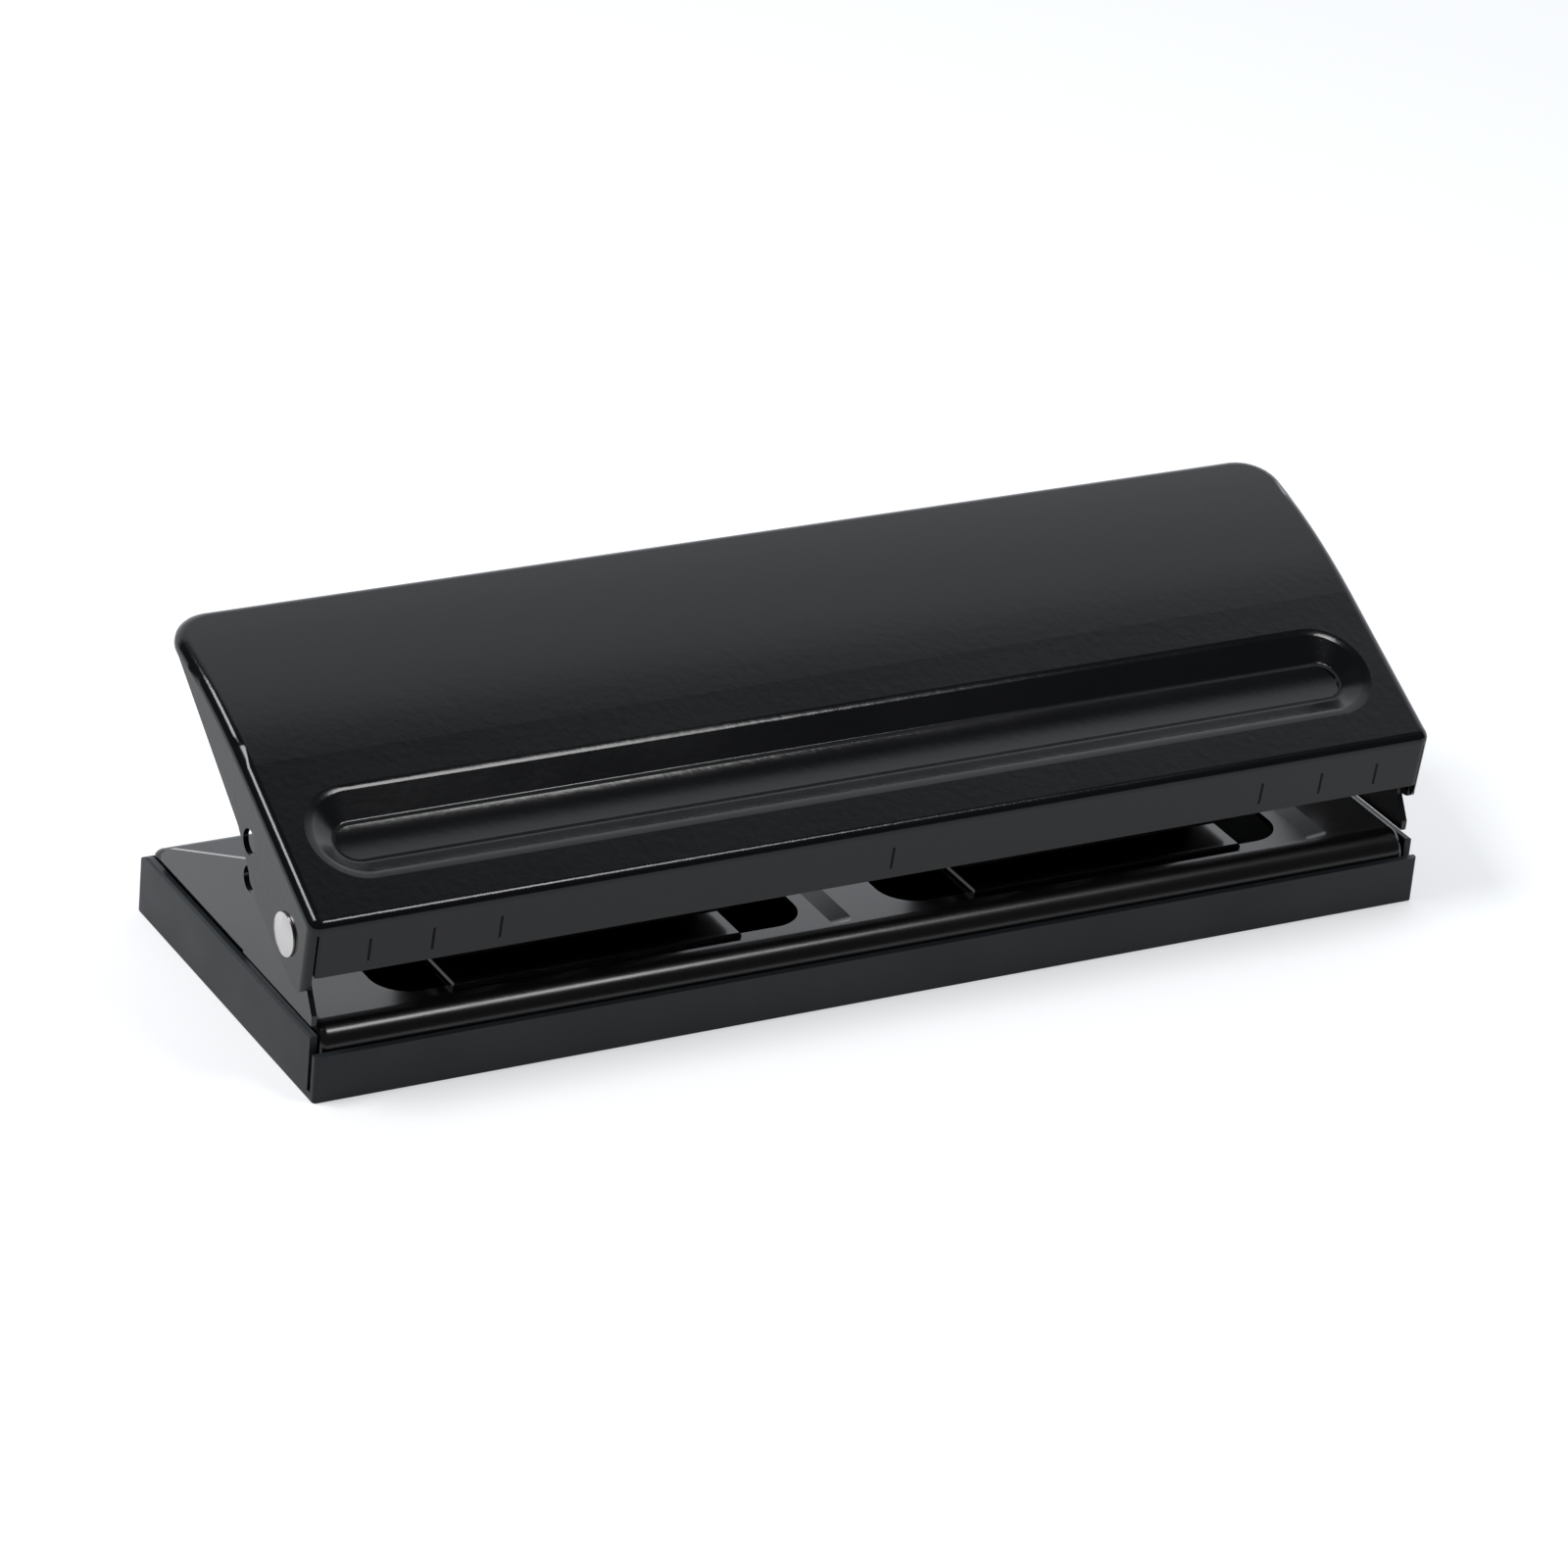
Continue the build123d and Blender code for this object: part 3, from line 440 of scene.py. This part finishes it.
def paint_material(name, colour, shine, least, most, grain, peel_depth, dust):
    """Sprayed black paint: peel and grain, a roughness between least and most, a little dust."""
    return coated_material(
        name, colour,
        patches={"Scale": 24.0, "Least": least, "Most": most},
        specks={"Scale": 260.0, "Size": 0.035, "Amount": dust}, speck_light=6.0,
        grain=grain, grain_depth=peel_depth, ior=1.5, shine=shine,
    )


def plastic_material(name, colour):
    """Moulded plastic with a fine spark-eroded grain."""
    return coated_material(
        name, colour,
        patches={"Scale": 30.0, "Least": 0.42, "Most": 0.56},
        specks={"Scale": 300.0, "Size": 0.04, "Amount": 0.12}, speck_light=4.0,
        grain={"Peel scale": 1500.0, "Grain scale": 5200.0, "Grain share": 0.6}, grain_depth=0.03 * MM,
        ior=1.47, shine=0.3,
    )


def metal_material(name, colour, least, most, lines, depth):
    """Bare or plated metal with drawn lines and a roughness between least and most."""
    material, nodes, links, surface = new_material(name)
    handling = add_effect(nodes, "Handling", {"Scale": 160.0, "Least": least, "Most": most}, -200, 100)
    links.new(handling.outputs["Roughness"], surface.inputs["Roughness"])
    drawn = add_effect(nodes, "Drawn lines", lines, -200, -150)
    darker = scaled_colour(colour, 0.86)
    tone = mix_colours(nodes, links, drawn.outputs["Tone"], darker, colour, 100, 250)
    links.new(tone, surface.inputs["Base Color"])
    add_relief(nodes, links, drawn.outputs["Height"], depth, 0.6, surface)
    surface.inputs["Metallic"].default_value = 1.0
    return material


# Dressing


def dress(node, material):
    """Give a CAD node its material."""
    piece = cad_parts[node]
    if piece.material_slots:
        for slot in piece.material_slots:
            slot.material = material
    else:
        piece.data.materials.append(material)


def add_box(form, middle, size, turn=Matrix.Identity(4)):
    """Add a box to a form, turned about its own middle."""
    shape = Matrix.Diagonal((*size, 1.0))
    bmesh.ops.create_cube(form, size=1.0, matrix=Matrix.Translation(middle) @ turn @ shape)


def new_object(name, form, material):
    """A mesh object in the scene, made from a form."""
    mesh = bpy.data.meshes.new(name)
    form.to_mesh(mesh)
    form.free()
    mesh.materials.append(material)
    item = bpy.data.objects.new(name, mesh)
    bpy.context.scene.collection.objects.link(item)
    return item


def new_piece(name, form, material, body):
    """A new mesh piece that rides on a body."""
    piece = new_object(name, form, material)
    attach(piece, body)
    return piece


class HOLEPUNCH_OT_handle(Operator):
    """Paint the handle"""

    bl_idname = "hole_punch.handle"
    bl_label = "Handle"

    def execute(self, context):
        paint = context.scene.hole_punch_paint
        rough = paint.handle_roughness
        black = paint_material(
            "handle_paint", paint.handle_colour, shine=0.28, least=rough - 0.03, most=rough + 0.03,
            grain={"Peel scale": 520.0, "Grain scale": 2400.0, "Grain share": 0.25},
            peel_depth=0.028 * MM, dust=0.08,
        )
        dress("handle_cover", black)
        return {"FINISHED"}


class HOLEPUNCH_OT_marks(Operator):
    """Print the paper-size marks on the handle's front flange"""

    bl_idname = "hole_punch.marks"
    bl_label = "Paper-size marks"

    def execute(self, context):
        sizes = context.scene.hole_punch_details
        ink = paint_material(
            "mark_ink", context.scene.hole_punch_paint.mark_colour, shine=0.1, least=0.5, most=0.6,
            grain={"Peel scale": 900.0, "Grain scale": 4000.0, "Grain share": 0.5},
            peel_depth=0.01 * MM, dust=0.0,
        )
        size = (sizes.mark_width, sizes.mark_length, sizes.mark_depth)
        turn = Matrix((Vector((1, 0, 0)), FLANGE_DOWN, FLANGE_OUT)).transposed().to_4x4()
        down = FLANGE_TOP + FLANGE_DOWN * (sizes.mark_start + sizes.mark_length / 2)
        form = bmesh.new()
        for place_x in MARK_PLACES:
            middle = down + Vector((place_x, 0, 0)) + FLANGE_OUT * (sizes.mark_depth / 2)
            add_box(form, middle, size, turn)
        new_piece("paper_marks", form, ink, "handle")
        return {"FINISHED"}


class HOLEPUNCH_OT_base(Operator):
    """Paint the base plate, finish the ears' lower edges and plate the pivot rivets"""

    bl_idname = "hole_punch.base"
    bl_label = "Base plate and rivets"

    def execute(self, context):
        paint = context.scene.hole_punch_paint
        rough = paint.plate_roughness
        black = paint_material(
            "plate_paint", paint.plate_colour, shine=0.4, least=rough - 0.02, most=rough + 0.03,
            grain={"Peel scale": 260.0, "Grain scale": 1800.0, "Grain share": 0.08},
            peel_depth=0.004 * MM, dust=0.1,
        )
        nickel = metal_material(
            "rivet_nickel", paint.rivet_colour, least=0.2, most=0.34,
            lines={"Across": 5200.0, "Along": 3800.0}, depth=0.012 * MM,
        )
        dress("base_plate", black)
        for side, way in zip(SIDES, (-1, 1)):
            form = bmesh.new()
            add_box(form, EAR_EDGE_MIDDLE * Vector((way, 1, 1)), EAR_EDGE_SIZE)
            new_piece(f"ear_edge_{side}", form, black, "base")
            dress(f"pivot_rivet_{side}", nickel)
        return {"FINISHED"}


class HOLEPUNCH_OT_tray(Operator):
    """Give the chip tray its moulded plastic"""

    bl_idname = "hole_punch.tray"
    bl_label = "Chip tray"

    def execute(self, context):
        dress("chip_tray", plastic_material("tray_plastic", context.scene.hole_punch_paint.tray_colour))
        return {"FINISHED"}


class HOLEPUNCH_OT_heads(Operator):
    """Finish the two punch heads: painted dies and frames, zinc-plated retainers"""

    bl_idname = "hole_punch.heads"
    bl_label = "Punch heads"

    def execute(self, context):
        paint = context.scene.hole_punch_paint
        satin = paint_material(
            "head_paint", paint.plate_colour, shine=0.4, least=0.16, most=0.24,
            grain={"Peel scale": 600.0, "Grain scale": 2600.0, "Grain share": 0.2},
            peel_depth=0.008 * MM, dust=0.1,
        )
        zinc = metal_material(
            "zinc_plate", paint.zinc_colour, least=0.28, most=0.4,
            lines={"Across": 2600.0, "Along": 900.0}, depth=0.006 * MM,
        )
        for side in SIDES:
            for piece in ("die_plate", "back_stop", "punch_frame"):
                dress(f"{piece}_{side}", satin)
            for piece in ("retainer_plate", "retainer_screws", "head_rivets"):
                dress(f"{piece}_{side}", zinc)
        return {"FINISHED"}


class HOLEPUNCH_OT_pins(Operator):
    """Finish the punch pins and their collars"""

    bl_idname = "hole_punch.pins"
    bl_label = "Punch pins"

    def execute(self, context):
        paint = context.scene.hole_punch_paint
        steel = metal_material(
            "pin_steel", paint.pin_colour, least=0.16, most=0.26,
            lines={"Across": 900.0, "Along": 14000.0}, depth=0.004 * MM,
        )
        dark = metal_material(
            "collar_steel", paint.collar_colour, least=0.3, most=0.42,
            lines={"Across": 3000.0, "Along": 3000.0}, depth=0.006 * MM,
        )
        for side in SIDES:
            for number in PIN_NUMBERS:
                dress(f"punch_pin_{side}_{number}", steel)
                dress(f"pin_collar_{side}_{number}", dark)
        return {"FINISHED"}


def coil_level(turn, low, high, sizes):
    """Height of the wire's middle at a turn: slow in the close end turns and even between them."""
    pitch = sizes.wire * CLOSE_PITCH
    first, last = CLOSE_TURNS, sizes.coils - CLOSE_TURNS
    if turn < first:
        return low + pitch * turn
    if turn > last:
        return high - pitch * (sizes.coils - turn)
    share = (turn - first) / (last - first)
    return low + pitch * CLOSE_TURNS + (high - low - 2 * pitch * CLOSE_TURNS) * share


def coil_form(centre, low, high, sizes):
    """A round-wire spring between two levels, with its end turns drawn close."""
    form = bmesh.new()
    rings = []
    wire = sizes.wire / 2
    for step in range(sizes.coils * COIL_STEPS + 1):
        turn = step / COIL_STEPS
        angle = turn * math.tau
        outward = Vector((math.cos(angle), math.sin(angle), 0))
        level = coil_level(turn, low + wire, high - wire, sizes)
        middle = Vector((centre.x, centre.y, level)) + outward * sizes.coil_radius
        ring = []
        for side in range(WIRE_SIDES):
            around = side * math.tau / WIRE_SIDES
            offset = outward * (wire * math.cos(around)) + Vector((0, 0, wire * math.sin(around)))
            ring.append(form.verts.new(middle + offset))
        rings.append(ring)
    for near, far in zip(rings, rings[1:]):
        for side in range(WIRE_SIDES):
            follow = (side + 1) % WIRE_SIDES
            face = form.faces.new((near[side], near[follow], far[follow], far[side]))
            face.smooth = True
    form.faces.new(rings[0])
    form.faces.new(list(reversed(rings[-1])))
    bmesh.ops.recalc_face_normals(form, faces=form.faces)
    return form


class HOLEPUNCH_OT_springs(Operator):
    """Wind the six return springs around the pins"""

    bl_idname = "hole_punch.springs"
    bl_label = "Return springs"

    def execute(self, context):
        sizes = context.scene.hole_punch_details
        drawn = metal_material(
            "spring_steel", context.scene.hole_punch_paint.spring_colour, least=0.22, most=0.34,
            lines={"Across": 1600.0, "Along": 1600.0}, depth=0.006 * MM,
        )
        for side in SIDES:
            for number in PIN_NUMBERS:
                node = f"return_spring_{side}_{number}"
                low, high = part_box(node)
                pin_low, pin_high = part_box(f"punch_pin_{side}_{number}")
                centre = (pin_low + pin_high) / 2
                form = coil_form(centre, low.z, high.z, sizes)
                spring = new_piece(f"spring_{side}_{number}", form, drawn, f"head_{side}")
                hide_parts(node)
                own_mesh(spring)
        return {"FINISHED"}


# Stage


def floor_material(colour, lift):
    """Pale floor that camera, metal and glass see a little whiter, with the object's shadow on it."""
    material, nodes, links, surface = new_material("floor")
    surface.inputs["Base Color"].default_value = (*colour, 1.0)
    surface.inputs["Roughness"].default_value = 0.9
    surface.inputs["Specular IOR Level"].default_value = 0.0
    path = place(nodes.new("ShaderNodeLightPath"), -500, -200)
    seen = path.outputs["Is Camera Ray"]
    for step, ray in enumerate(("Is Glossy Ray", "Is Transmission Ray")):
        seen = math_node(nodes, links, "MAXIMUM", seen, path.outputs[ray], -300 + 200 * step, -200)
    strength = math_node(nodes, links, "MULTIPLY", seen, lift, 200, -200)
    surface.inputs["Emission Color"].default_value = (1, 1, 1, 1)
    links.new(strength, surface.inputs["Emission Strength"])
    return material


def set_world(context, front, back_high, back_low):
    """Studio surroundings: a dark room in front and a bright screen at the back right, brightest low down."""
    world = bpy.data.worlds.new("studio")
    context.scene.world = world
    world.use_nodes = True
    nodes = world.node_tree.nodes
    links = world.node_tree.links
    nodes.clear()
    coordinates = place(nodes.new("ShaderNodeTexCoord"), -800, 0)
    toward = place(nodes.new("ShaderNodeVectorMath"), -600, 150)
    toward.operation = "DOT_PRODUCT"
    toward.inputs[1].default_value = SCREEN_SIDE
    links.new(coordinates.outputs["Generated"], toward.inputs[0])
    split = place(nodes.new("ShaderNodeSeparateXYZ"), -600, -150)
    links.new(coordinates.outputs["Generated"], split.inputs["Vector"])
    inside = map_range(
        nodes, links, toward.outputs["Value"], SCREEN_EDGE, (0.0, 1.0), -400, 150, "SMOOTHSTEP"
    )
    screen = map_range(
        nodes, links, split.outputs["Z"], SCREEN_RISE, (back_low, back_high), -400, -150, "SMOOTHSTEP"
    )
    background = place(nodes.new("ShaderNodeBackground"), 100, 0)
    background.inputs["Color"].default_value = SCREEN_TINT
    level = mix_values(nodes, links, inside, front, screen, -150, 0)
    links.new(level, background.inputs["Strength"])
    output = place(nodes.new("ShaderNodeOutputWorld"), 300, 0)
    links.new(background.outputs["Background"], output.inputs["Surface"])


def add_softbox(name, way, size, power):
    """A rectangular area light that stands one way from the punch and is aimed at it."""
    lamp = bpy.data.lights.new(name, "AREA")
    lamp.shape = "RECTANGLE"
    lamp.size, lamp.size_y = size
    lamp.energy = power
    light = bpy.data.objects.new(name, lamp)
    light.location = LAMP_AIM + way.normalized() * LAMP_DISTANCE
    light.rotation_mode = "QUATERNION"
    light.rotation_quaternion = (LAMP_AIM - light.location).to_track_quat("-Z", "Y")
    bpy.context.scene.collection.objects.link(light)


def add_camera(context, focal_length):
    """The scene's camera, at the photograph's place and angle."""
    lens = bpy.data.cameras.new("camera")
    lens.sensor_width = CAMERA_SENSOR
    lens.lens = focal_length
    lens.clip_start, lens.clip_end = CAMERA_CLIP
    camera = bpy.data.objects.new("camera", lens)
    ahead = CAMERA_AHEAD.normalized()
    up = CAMERA_RIGHT.normalized().cross(ahead).normalized()
    right = ahead.cross(up)
    turn = Matrix((right, up, -ahead)).transposed().to_4x4()
    camera.matrix_world = Matrix.Translation(CAMERA_PLACE) @ turn
    context.scene.collection.objects.link(camera)
    context.scene.camera = camera


class HOLEPUNCH_OT_stage(Operator):
    """Set up the floor, the light and the camera"""

    bl_idname = "hole_punch.stage"
    bl_label = "Stage"

    def execute(self, context):
        stage = context.scene.hole_punch_stage
        form = bmesh.new()
        bmesh.ops.create_grid(form, x_segments=1, y_segments=1, size=FLOOR_REACH)
        floor = new_object("floor", form, floor_material(stage.floor_colour, stage.floor_lift))
        set_world(context, stage.front_light, stage.back_light, stage.low_light)
        add_softbox("key", KEY_WAY, KEY_SIZE, stage.key_power)
        add_softbox("side", SIDE_WAY, SIDE_SIZE, stage.side_power)
        add_camera(context, stage.lens)
        context.scene.view_settings.view_transform = "Standard"
        return {"FINISHED"}


# Panel and registration

PIECE_OPERATORS = (
    HOLEPUNCH_OT_handle,
    HOLEPUNCH_OT_marks,
    HOLEPUNCH_OT_base,
    HOLEPUNCH_OT_tray,
    HOLEPUNCH_OT_heads,
    HOLEPUNCH_OT_pins,
    HOLEPUNCH_OT_springs,
    HOLEPUNCH_OT_stage,
)


class HOLEPUNCH_PT_panel(Panel):
    """Lists the punch's settings and steps in the sidebar"""

    bl_idname = "HOLEPUNCH_PT_panel"
    bl_label = "Hole punch"
    bl_space_type = "VIEW_3D"
    bl_region_type = "UI"
    bl_category = "Hole punch"

    def draw(self, context):
        for settings in (
            context.scene.hole_punch_paint,
            context.scene.hole_punch_details,
            context.scene.hole_punch_stage,
        ):
            column = self.layout.column(align=True)
            for name in settings.__annotations__:
                column.prop(settings, name)
        for operator in PIECE_OPERATORS:
            self.layout.operator(operator.bl_idname)


CLASSES = (PaintSettings, DetailSettings, StageSettings, *PIECE_OPERATORS, HOLEPUNCH_PT_panel)


def register():
    """Register the classes and hang the settings on the scene."""
    for item in CLASSES:
        bpy.utils.register_class(item)
    bpy.types.Scene.hole_punch_paint = PointerProperty(type=PaintSettings)
    bpy.types.Scene.hole_punch_details = PointerProperty(type=DetailSettings)
    bpy.types.Scene.hole_punch_stage = PointerProperty(type=StageSettings)


def unregister():
    """Take the settings and classes away again."""
    del bpy.types.Scene.hole_punch_stage
    del bpy.types.Scene.hole_punch_details
    del bpy.types.Scene.hole_punch_paint
    for item in reversed(CLASSES):
        bpy.utils.unregister_class(item)


def main():
    """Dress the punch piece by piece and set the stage."""
    register()
    bpy.ops.hole_punch.handle()
    bpy.ops.hole_punch.marks()
    bpy.ops.hole_punch.base()
    bpy.ops.hole_punch.tray()
    bpy.ops.hole_punch.heads()
    bpy.ops.hole_punch.pins()
    bpy.ops.hole_punch.springs()
    bpy.ops.hole_punch.stage()


if __name__ == "__main__":
    main()
